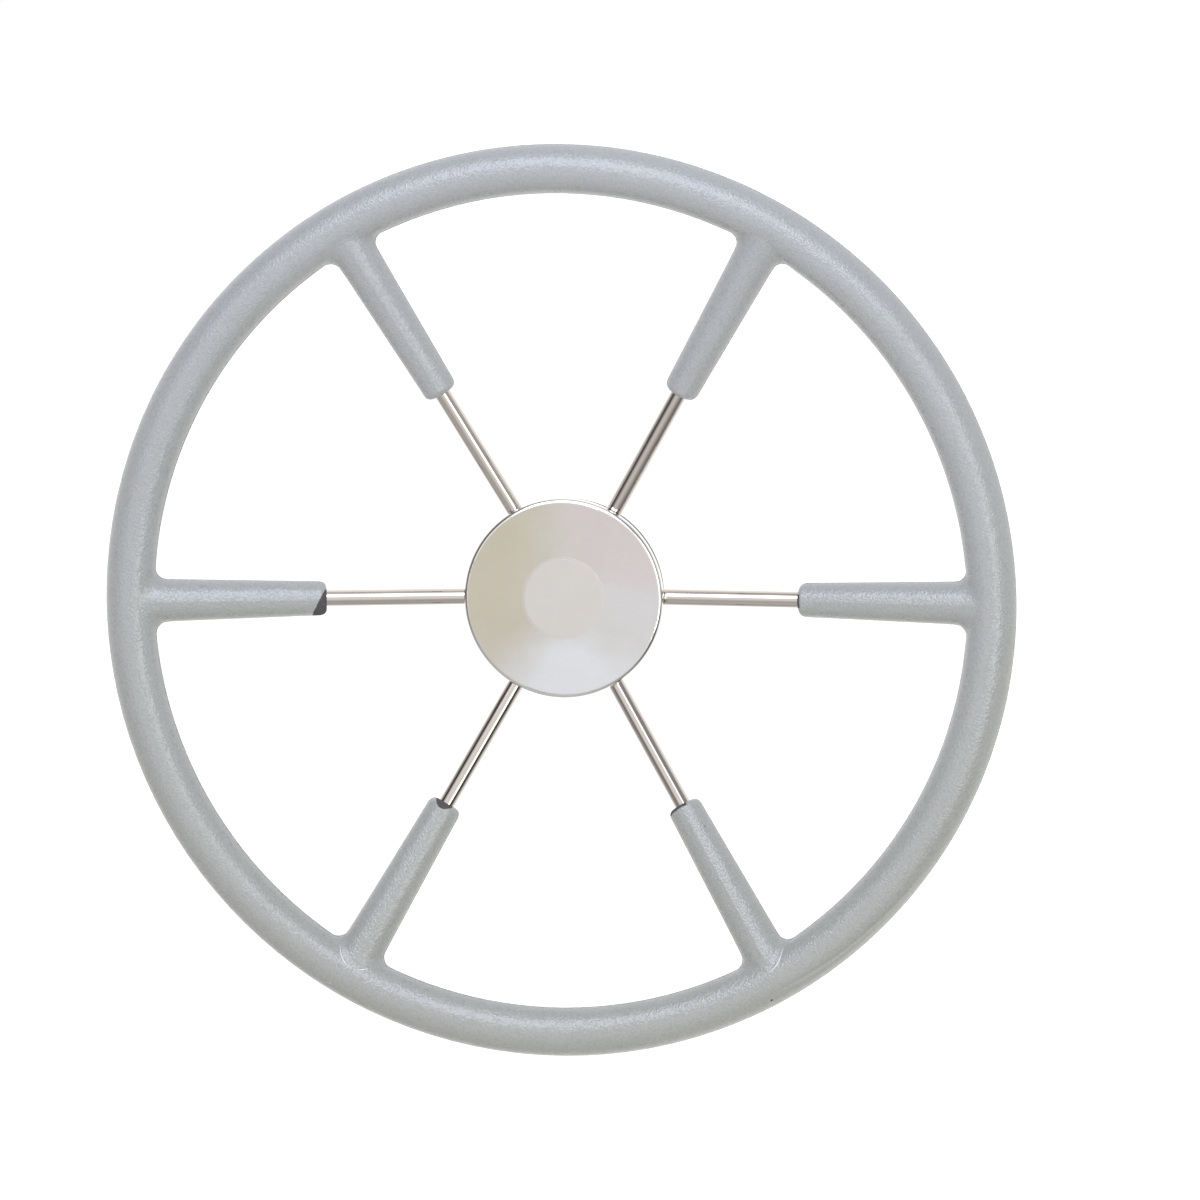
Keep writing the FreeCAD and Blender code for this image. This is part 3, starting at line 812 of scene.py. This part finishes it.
@dataclass
class PlainMetal(Finish):
    """Turned steel with fine lines round the shaft's direction."""

    metal: Colour = (0.55, 0.54, 0.53)
    roughness: float = 0.28
    line_depth: float = 0.01 * MM

    def paint(self) -> None:
        """Turns fine lines on the steel."""
        lines = self.lines(self.shaft["Depth"], 0.0, 0.12 * MM, 1.0)
        self.shade(
            Base_Color=self.scaled(self.metal, self.mottle(180.0, 0.12)),
            Metallic=1.0,
            Roughness=self.ramp(lines, *LINE_SPAN, 0.8 * self.roughness, 1.2 * self.roughness),
        )
        self.bump(lines, self.line_depth)


@dataclass
class DarkMoulding(Finish):
    """Black nylon or rubber with a fine moulded grain."""

    colour: Colour = (0.028, 0.028, 0.029)
    roughness: float = 0.45
    grain_scale: float = 1500.0
    grain_depth: float = 0.02 * MM

    def paint(self) -> None:
        """Gives the moulding its grain."""
        self.shade(
            Base_Color=self.scaled(self.colour, self.mottle(200.0, 0.3)),
            Roughness=self.times(self.mottle(120.0, 0.15), self.roughness),
        )
        self.bump(self.grain(self.grain_scale)["Height"], self.grain_depth)


def dress(name: str, finish: Finish) -> None:
    """Gives a CAD node its finish.

    Args:
        name: the node's name.
        finish: its finish.
    """
    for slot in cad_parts[name].material_slots:
        slot.material = finish.material
    LOG.info("dressed %s in %s", name, finish.material.name)


def put_in_scene(name: str, data: bpy.types.ID) -> bpy.types.Object:
    """Puts a mesh, a lamp or a camera in the scene.

    Args:
        name: the new object's name.
        data: what it shows.

    Returns:
        The object, at the origin.
    """
    thing = bpy.data.objects.new(name, data)
    bpy.context.scene.collection.objects.link(thing)
    return thing


def about_shaft(point: Vector, angle: float) -> Vector:
    """A point turned about the shaft axis, from +X towards +Z."""
    return Quaternion((0.0, 1.0, 0.0), -angle) @ point


def on_next_sleeve(point: Vector) -> Vector:
    """The point that faces one on the first sleeve, across the gap to the next sleeve."""
    return about_shaft(Vector((point.x, point.y, -point.z)), TURN)


def spread(start: float, stop: float, steps: int) -> list[float]:
    """Evenly spaced values between two, both of them included."""
    return [start + (stop - start) * number / steps for number in range(steps + 1)]


@dataclass(frozen=True)
class RootLine:
    """Fine ridge round the root of a numbered sleeve, from low to high across it, anticlockwise."""

    spoke: int
    low: float
    high: float


@dataclass
class Grip:
    """The moulded grip and the steel ring inside it.

    Attributes:
        bead: how far the mould's parting line stands from the skin.
        ring_steps: points on it round the outside of the rim.
        arc_steps: steps on it between two sleeves.
        side_steps: steps on it along one side of a sleeve, and round a corner of sleeve and rim.
        sleeve_radius: half of a sleeve's width at its end and at the rim.
        end_round: rounding of the sleeve's end.
        corner: angle from a spoke at which the parting line leaves the rim.
        corner_run: where it leaves the sleeve's side, in from the rim's section centre.
        root_ridge: how far the ridges at the sleeves' roots stand from the skin.
        root_reach: from the shaft axis to a ridge's outermost point.
        root_bow: how much nearer it comes for each unit squared across the sleeve.
        ridge_highlight_colours: the ridges' skin colours, lighter as a painted highlight, were they at
            the rim's top and at its bottom.
    """

    kit: Kit
    bead: float = 0.22 * MM
    ring_steps: int = 360
    arc_steps: int = 40
    side_steps: int = 10
    sleeve_radius: tuple[float, float] = (8.25 * MM, 11.0 * MM)
    end_round: float = 3.0 * MM
    corner: float = math.radians(5.6)
    corner_run: float = 20.0 * MM
    root_lines: tuple[RootLine, ...] = (
        RootLine(spoke=2, low=-1.5 * MM, high=10.8 * MM),
        RootLine(spoke=3, low=-10.6 * MM, high=1.0 * MM),
        RootLine(spoke=3, low=3.5 * MM, high=8.0 * MM),
    )
    root_ridge: float = 0.40 * MM
    root_reach: float = 208.3 * MM
    root_bow: float = 60.0
    root_steps: int = 24
    ridge_highlight_colours: tuple[Colour, Colour] = ((0.76, 0.77, 0.80), (0.74, 0.75, 0.77))

    def build(self) -> None:
        """Dresses the nodes, and lays the parting line and the ridges on the skin."""
        skin = GripSkin(self.kit)
        dress("rim_grip", skin)
        dress("rim_core", PlainMetal(self.kit, Slot.CORE, metal=(0.35, 0.34, 0.33), roughness=0.35))
        self.make_parting_line(skin)
        self.make_root_ridges()

    @cached_property
    def surface(self) -> BVHTree:
        """The grip's own mesh, which the beads are laid on."""
        depsgraph = bpy.context.evaluated_depsgraph_get()
        return BVHTree.FromObject(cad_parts["rim_grip"], depsgraph)

    def make_parting_line(self, skin: Finish) -> None:
        """Fine bead that the two halves of the mould leave, round the rim and up the sleeves.

        Args:
            skin: the grip's finish.
        """
        run = self.inner_run()
        turned = [[about_shaft(point, spoke * TURN) for point in run] for spoke in range(SPOKES)]
        runs = [(self.outer_ring(), Ends.JOINED), *((points, Ends.PLAIN) for points in turned)]
        self.make_bead("grip_parting_line", self.bead, runs, skin)

    def make_root_ridges(self) -> None:
        """Fine ridges on the rim's front, round the roots of the lower sleeves, coloured paler as a
        painted highlight.
        """
        runs = [(self.root_run(line), Ends.THINNED) for line in self.root_lines]
        # The ridges' pale skin is a painted highlight.
        top, bottom = self.ridge_highlight_colours
        paler = GripSkin(self.kit, name="ridge_highlight_skin", skin=top, painted_bottom_light=bottom)
        self.make_bead("grip_root_ridges", self.root_ridge, runs, paler)

    def make_bead(
        self, name: str, radius: float, runs: Sequence[tuple[list[Vector], Ends]], finish: Finish
    ) -> None:
        """Lays a fine round bead on the skin, as a piece of the grip.

        Args:
            name: the piece's name.
            radius: how far it stands from the skin.
            runs: each run's points, near the skin, and what becomes of its ends.
            finish: the piece's finish.
        """
        curve = bpy.data.curves.new("bead", "CURVE")
        curve.dimensions = "3D"
        curve.bevel_depth = radius
        curve.bevel_resolution = 1
        for points, ends in runs:
            spline = curve.splines.new("POLY")
            last = len(points) - 1
            spline.points.add(last)
            for number, (knot, point) in enumerate(zip(spline.points, points)):
                knot.co = (*self.surface.find_nearest(point)[0], 1.0)
                if ends is Ends.THINNED:
                    knot.radius = math.sin(math.pi * number / last) ** 0.5
            spline.use_cyclic_u = ends is Ends.JOINED
        holder = bpy.data.objects.new("bead", curve)
        mesh = bpy.data.meshes.new_from_object(holder)
        bpy.data.objects.remove(holder)
        mesh.materials.clear()
        mesh.materials.append(finish.material)
        mesh.shade_smooth()
        piece = put_in_scene(name, mesh)
        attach(piece, "wheel")
        LOG.info("made %s: %d faces", name, len(mesh.polygons))

    def root_run(self, line: RootLine) -> list[Vector]:
        """Finds one ridge's place on the front of the skin.

        Args:
            line: the ridge.

        Returns:
            Points along it.
        """
        along = Vector(spoke_direction(line.spoke))
        across = Vector((-along.z, 0.0, along.x))
        points = []
        for aside in spread(line.low, line.high, self.root_steps):
            before = along * (self.root_reach - self.root_bow * aside * aside) + across * aside
            before.y = self.kit.sizes.rim_plane - 2 * self.kit.sizes.grip_radius
            points.append(self.surface.ray_cast(before, Vector((0.0, 1.0, 0.0)))[0])
        return points

    def outer_ring(self) -> list[Vector]:
        """Finds the parting line's place on the outside of the rim.

        Returns:
            Points round it.
        """
        sizes = self.kit.sizes
        outside = Vector((sizes.rim_radius + sizes.grip_radius, sizes.rim_plane, 0.0))
        step = math.tau / self.ring_steps
        return [about_shaft(outside, number * step) for number in range(self.ring_steps)]

    def sleeve_side(self, run: float) -> Vector:
        """Finds a point on the upper side of the first sleeve.

        Args:
            run: its distance from the shaft axis.

        Returns:
            The point.
        """
        sizes = self.kit.sizes
        share = (run - sizes.sleeve_end) / (sizes.rim_radius - sizes.sleeve_end)
        end, root = self.sleeve_radius
        return Vector((run, sizes.spoke_line(run), end + (root - end) * share))

    def inner_run(self) -> list[Vector]:
        """Follows the parting line up the first sleeve, round the rim and down the next sleeve.

        Returns:
            Points along it.
        """
        sizes = self.kit.sizes
        start, stop = sizes.sleeve_end + self.end_round, sizes.rim_radius - self.corner_run
        up = [self.sleeve_side(run) for run in spread(start, stop, self.side_steps)]
        inside = Vector((sizes.rim_radius - sizes.grip_radius, sizes.rim_plane, 0.0))
        angles = spread(self.corner, TURN - self.corner, self.arc_steps)
        along = [about_shaft(inside, angle) for angle in angles]
        down = [on_next_sleeve(point) for point in reversed(up)]
        knee = Vector((inside.x, (up[-1].y + inside.y) / 2, self.sleeve_side(inside.x).z))
        first_bend = self.bent(up[-1], knee, along[0])
        second_bend = self.bent(along[-1], on_next_sleeve(knee), down[0])
        return [*up, *first_bend, *along, *second_bend, *down]

    def bent(self, start: Vector, knee: Vector, end: Vector) -> list[Vector]:
        """Points on a bend that rounds the corner at its knee, without its start and its end."""
        shares = spread(0.0, 1.0, self.side_steps)[1:-1]
        return [start.lerp(knee, share).lerp(knee.lerp(end, share), share) for share in shares]


@dataclass
class Spokes:
    """The six polished spokes."""

    kit: Kit

    def build(self) -> None:
        """Dresses the spokes."""
        bar = PolishedBar(self.kit)
        for number in range(1, SPOKES + 1):
            dress(f"spoke_{number}", bar)


@dataclass
class Hub:
    """The hub and the grub screws that pin the spokes in it."""

    kit: Kit

    def build(self) -> None:
        """Dresses the hub and its screws."""
        dress("hub", CoatedHub(self.kit))
        dress("spoke_grub_screws", PlainMetal(self.kit, Slot.FASTENER))


@dataclass
class Cap:
    """The cap over the hub, with its moulded ring and its seal."""

    kit: Kit
    rubber: Colour = (0.016, 0.016, 0.017)

    def build(self) -> None:
        """Dresses the cap, its ring and its seal."""
        dress("hub_cap", SpunCap(self.kit))
        dress("cap_spigot", DarkMoulding(self.kit, Slot.MOULDING))
        seal = DarkMoulding(self.kit, Slot.SEAL, colour=self.rubber, roughness=0.62, grain_scale=2600.0)
        dress("cap_seal", seal)


@dataclass(frozen=True)
class Card:
    """Soft-edged patch of the studio that polished metal mirrors. Its angles are in degrees.

    Attributes:
        azimuth: its middle, to the right of straight ahead.
        elevation: its middle, above level.
        inner: angle from the middle that it fills.
        outer: angle from the middle at which it has faded out.
        level: its brightness, where 1 is white.
    """

    azimuth: float
    elevation: float
    inner: float
    outer: float
    level: float


@dataclass(frozen=True)
class Lamp:
    """Softbox that faces the wheel, placed by a card's angles, with its power in watts."""

    name: str
    azimuth: float
    elevation: float
    distance: float
    width: float
    height: float
    power: float
    colour: Colour


@dataclass
class Studio:
    """White studio: floor, surroundings, lamps and camera. Its angles are in degrees.

    Attributes:
        distance: camera from the middle of the rim.
        azimuth: camera to the right of straight ahead.
        elevation: camera above level.
        roll: camera's own turn.
        aim: what the camera looks at, in the rim's plane.
        lens: focal length for that sensor, both in millimetres.
        floor_height: floor below the shaft, as where a helm carries the wheel.
        floor_glow: floor's glow to the room, and how much more the camera and metal see.
        light_below: colour of the soft light from below.
        light_above: its colour from above.
        light_sides: its level from the left and from the right.
        surroundings: what metal mirrors beside the cards, where 1 is white.
    """

    sizes: WheelSizes
    distance: float = 4.5
    azimuth: float = 7.05
    elevation: float = 6.09
    roll: float = -0.548
    aim: tuple[float, float] = (20.41 * MM, 1.21 * MM)
    lens: float = 275.18
    sensor: float = 36.0
    view_end: float = 200.0
    floor_height: float = -0.95
    floor_size: float = 60.0
    floor_colour: Colour = (0.84, 0.79, 0.74)
    floor_glow_colour: Colour = (0.92, 0.96, 1.0)
    floor_glow: tuple[float, float] = (0.13, 0.62)
    backdrop: Colour = (1.0, 1.0, 1.0)
    light_below: Colour = (0.84, 0.71, 0.62)
    light_above: Colour = (0.55, 0.58, 0.535)
    light_sides: tuple[float, float] = (1.09, 0.91)
    surroundings: float = 1.17
    cards: tuple[Card, ...] = (
        Card(-48.0, -50.0, 43.0, 70.0, 0.59),
        Card(-45.0, 31.0, 23.0, 83.0, 0.05),
        Card(64.0, -31.0, 3.0, 58.0, 0.05),
        Card(59.0, 36.0, 4.0, 64.0, 0.32),
        Card(-9.0, 10.0, 15.0, 53.0, 0.99),
        Card(-17.0, 56.0, 3.0, 36.0, 1.08),
    )
    lamps: tuple[Lamp, ...] = (
        Lamp("top_softbox", -2.4, 39.6, 2.6, 2.25, 1.65, 42.0, (0.77, 0.80, 1.0)),
        Lamp("right_softbox", 34.3, 1.7, 2.6, 0.88, 2.04, 13.4, (0.91, 0.99, 0.89)),
    )

    def build(self) -> None:
        """Makes everything that isn't part of the wheel."""
        self.make_camera()
        self.make_floor()
        self.make_world()
        for lamp in self.lamps:
            self.make_lamp(lamp)

    def toward(self, azimuth: float, elevation: float) -> Vector:
        """Direction of length 1, from degrees to the right of straight ahead and above level."""
        turn, rise = math.radians(azimuth), math.radians(elevation)
        return Vector((math.sin(turn) * math.cos(rise), -math.cos(turn) * math.cos(rise), math.sin(rise)))

    def make_camera(self) -> None:
        """Puts the camera where the photograph was taken from."""
        data = bpy.data.cameras.new("camera")
        data.lens = self.lens
        data.sensor_width = self.sensor
        data.clip_end = self.view_end
        camera = put_in_scene("camera", data)
        back = self.toward(self.azimuth, self.elevation)
        target = Vector((self.aim[0], self.sizes.rim_plane, self.aim[1]))
        camera.location = target + back * self.distance
        camera.rotation_mode = "QUATERNION"
        upright = (-back).to_track_quat("-Z", "Y")
        camera.rotation_quaternion = upright @ Quaternion((0.0, 0.0, 1.0), math.radians(self.roll))
        bpy.context.scene.camera = camera

    def make_floor(self) -> None:
        """Plain white floor that keeps the wheel's shadow."""
        shape = bmesh.new()
        bmesh.ops.create_grid(shape, x_segments=1, y_segments=1, size=self.floor_size / 2)
        bmesh.ops.translate(shape, verts=shape.verts, vec=(0.0, 0.0, self.floor_height))
        mesh = bpy.data.meshes.new("floor")
        shape.to_mesh(mesh)
        shape.free()
        floor = put_in_scene("floor", mesh)
        floor.visible_glossy = False
        mesh.materials.append(self.floor_paint())

    def floor_paint(self) -> bpy.types.Material:
        """Paints the floor a matt white that the camera sees as the white background.

        Returns:
            The floor's material.
        """
        paint = Paint("floor_paint")
        path = paint.add("LightPath").outputs
        seen = paint.maths("MAXIMUM", path["Is Camera Ray"], path["Is Glossy Ray"])
        to_room, to_camera = self.floor_glow
        paint.shade(
            Base_Color=self.floor_colour,
            Roughness=0.9,
            Emission_Color=self.floor_glow_colour,
            Emission_Strength=paint.maths("MULTIPLY_ADD", seen, to_camera, to_room),
        )
        return paint.material

    def make_world(self) -> None:
        """White backdrop, with one light for matt surfaces and another that metal mirrors."""
        world = bpy.data.worlds.new("studio")
        bpy.context.scene.world = world
        world.use_nodes = True
        bench = Bench(world.node_tree)
        path = bench.add("LightPath").outputs
        direction = bench.add("TexCoord").outputs["Generated"]
        light, mirrored = self.soft_light(bench, direction), self.reflected(bench, direction)
        seen = bench.blend(path["Is Glossy Ray"], light, mirrored)
        shown = bench.blend(path["Is Camera Ray"], seen, self.backdrop)
        bench.feed(world.node_tree.nodes["Background"].inputs["Color"], shown)

    def soft_light(self, bench: Bench, direction: Socket) -> Socket:
        """Makes what lights matt surfaces: dimmer and cooler from above, and dimmer from the right.

        Args:
            bench: the world's nodes.
            direction: where a ray goes.

        Returns:
            The light's colour.
        """
        across, _, up = bench.split(direction)
        light = bench.blend(bench.ramp(up, -1.0, 1.0), self.light_below, self.light_above)
        return bench.scaled(light, bench.ramp(across, -1.0, 1.0, *self.light_sides))

    def reflected(self, bench: Bench, direction: Socket) -> Term:
        """Makes what polished metal shows: the cards, each laid over the ones before it.

        Args:
            bench: the world's nodes.
            direction: where a ray goes.

        Returns:
            The level that it meets.
        """
        level: Term = self.surroundings
        for card in self.cards:
            middle = tuple(self.toward(card.azimuth, card.elevation))
            cosine = bench.vector("DOT_PRODUCT", direction, middle, output=1)
            inner, outer = math.radians(card.inner), math.radians(card.outer)
            share = bench.ramp(bench.maths("ARCCOSINE", cosine), inner, outer, 1.0, 0.0)
            level = bench.add("Mix", {0: share, 2: level, 3: card.level}).outputs[0]
        return level

    def make_lamp(self, lamp: Lamp) -> None:
        """Hangs one softbox, facing the wheel.

        Args:
            lamp: the softbox.
        """
        data = bpy.data.lights.new(lamp.name, "AREA")
        data.shape = "RECTANGLE"
        data.size, data.size_y = lamp.width, lamp.height
        data.energy = lamp.power
        data.color = lamp.colour
        holder = put_in_scene(lamp.name, data)
        back = self.toward(lamp.azimuth, lamp.elevation)
        holder.location = back * lamp.distance
        holder.rotation_mode = "QUATERNION"
        holder.rotation_quaternion = (-back).to_track_quat("-Z", "Y")


def main() -> None:
    """Builds the wheel's finishes and the studio."""
    logging.basicConfig(level=logging.INFO, format="%(name)s: %(message)s")
    sizes = WheelSizes.from_frame()
    kit = Kit.build(sizes)
    for assembly in (Grip(kit), Spokes(kit), Hub(kit), Cap(kit), Studio(sizes)):
        assembly.build()
        LOG.info("built %s", type(assembly).__name__)
    bpy.context.scene.view_settings.view_transform = "Standard"


if __name__ == "__main__":
    main()
